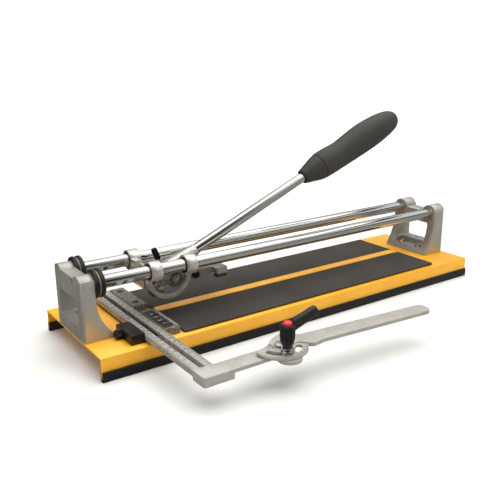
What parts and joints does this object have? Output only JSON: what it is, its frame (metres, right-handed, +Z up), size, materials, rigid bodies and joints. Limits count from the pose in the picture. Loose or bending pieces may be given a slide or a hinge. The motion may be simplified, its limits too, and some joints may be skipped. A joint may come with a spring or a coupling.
{
  "type": "tile cutter",
  "caption": "Manual tile cutter: a carriage with a lever, scoring wheel and breaker foot slides on twin rails over a padded base with a side ruler and swinging angle arm.",
  "frame": {"origin": "middle of the base's footprint on the bench, so the scoring line is the plane Y = 0", "axes": "+X along the rails from the end with the side ruler to the far end, +Y to the rear, away from the angle arm, +Z up"},
  "size_m": [0.54, 0.2793, 0.2259],
  "materials": {
    "powder_coat": "gloss yellow-orange powder coat",
    "edge_rubber": "matt black",
    "pad_rubber": "fine textured charcoal",
    "cast_aluminium": "satin, fine machined",
    "plated_steel": "bright zinc plate",
    "black_steel": "black oxide, satin",
    "chrome": "polished hard chrome",
    "ring_rubber": "satin black",
    "bush_plastic": "dark self-lubricating plastic",
    "grip_plastic": "matt dark grey, fine grain",
    "carbide": "ground dark carbide",
    "fence_metal": "ground, with a printed scale",
    "black_plastic": "satin black",
    "ruler_metal": "cast, speckled satin grey",
    "clamp_plastic": "satin black",
    "button_plastic": "gloss red"
  },
  "bodies": {
    "base": {"base_plate": "powder_coat", "front_foot_strip": "edge_rubber", "rear_foot_strip": "edge_rubber", "front_pad": "pad_rubber", "rear_pad": "pad_rubber", "left_bracket": "cast_aluminium", "right_bracket": "cast_aluminium", "bracket_bolts": "plated_steel", "bracket_lock_screws": "black_steel", "front_rail": "chrome", "rear_rail": "chrome", "bumper_rings": "ring_rubber", "ring_spacers": "cast_aluminium", "front_fence": "fence_metal", "rear_fence": "fence_metal", "fence_screws": "black_steel", "ruler_guide": "black_plastic"},
    "carriage": {"carriage_body": "cast_aluminium", "carriage_bushes": "bush_plastic", "pivot_bolt": "plated_steel", "pivot_nut": "plated_steel"},
    "lever": {"lever_hub": "cast_aluminium", "lever_rod": "chrome", "lever_grip": "grip_plastic", "rod_screw": "black_steel", "wheel_axle": "plated_steel", "foot_pin": "black_steel"},
    "wheel": {"scoring_wheel": "carbide"},
    "breaker": {"breaker_foot": "cast_aluminium", "foot_pads": "pad_rubber"},
    "ruler": {"side_ruler": "ruler_metal", "angle_pivot": "plated_steel", "clamp_stud": "chrome", "clamp_washer": "plated_steel"},
    "angle": {"angle_arm": "ruler_metal"},
    "clamp": {"clamp_lever": "clamp_plastic", "button_spring": "plated_steel"},
    "button": {"clamp_button": "button_plastic"},
    "thumb": {"thumb_screw": "black_plastic"}
  },
  "joints": [
    {"name": "carriage_slide", "type": "slide", "parent": "base", "child": "carriage", "axis": [1, 0, 0], "range_m": [-0.048, 0.3]},
    {"name": "lever_hinge", "type": "hinge", "parent": "carriage", "child": "lever", "pos_m": [-0.154, 0, 0.066], "axis": [0, 1, 0], "range_deg": [-48, 12]},
    {"name": "wheel_spin", "type": "hinge", "parent": "lever", "child": "wheel", "pos_m": [-0.16932, 0, 0.05314], "axis": [0, 1, 0], "continuous": true},
    {"name": "foot_tilt", "type": "hinge", "parent": "lever", "child": "breaker", "pos_m": [-0.124, 0, 0.0624], "axis": [0, 1, 0], "range_deg": [-14, 0]},
    {"name": "ruler_slide", "type": "slide", "parent": "base", "child": "ruler", "axis": [0, 1, 0], "range_m": [-0.06, 0.08]},
    {"name": "angle_swing", "type": "hinge", "parent": "ruler", "child": "angle", "pos_m": [-0.1275, -0.172, 0.034], "axis": [0, 0, 1], "range_deg": [-45, 50]},
    {"name": "clamp_turn", "type": "hinge", "parent": "ruler", "child": "clamp", "pos_m": [-0.1325, -0.189, 0.0436], "axis": [0, 0, 1], "continuous": true},
    {"name": "button_press", "type": "slide", "parent": "clamp", "child": "button", "axis": [0, 0, 1], "range_m": [-0.002, 0], "stiffness_N_per_m": 400},
    {"name": "thumb_turn", "type": "hinge", "parent": "base", "child": "thumb", "pos_m": [-0.233, -0.0435, 0.0304], "axis": [1, 0, 0], "continuous": true}
  ]
}
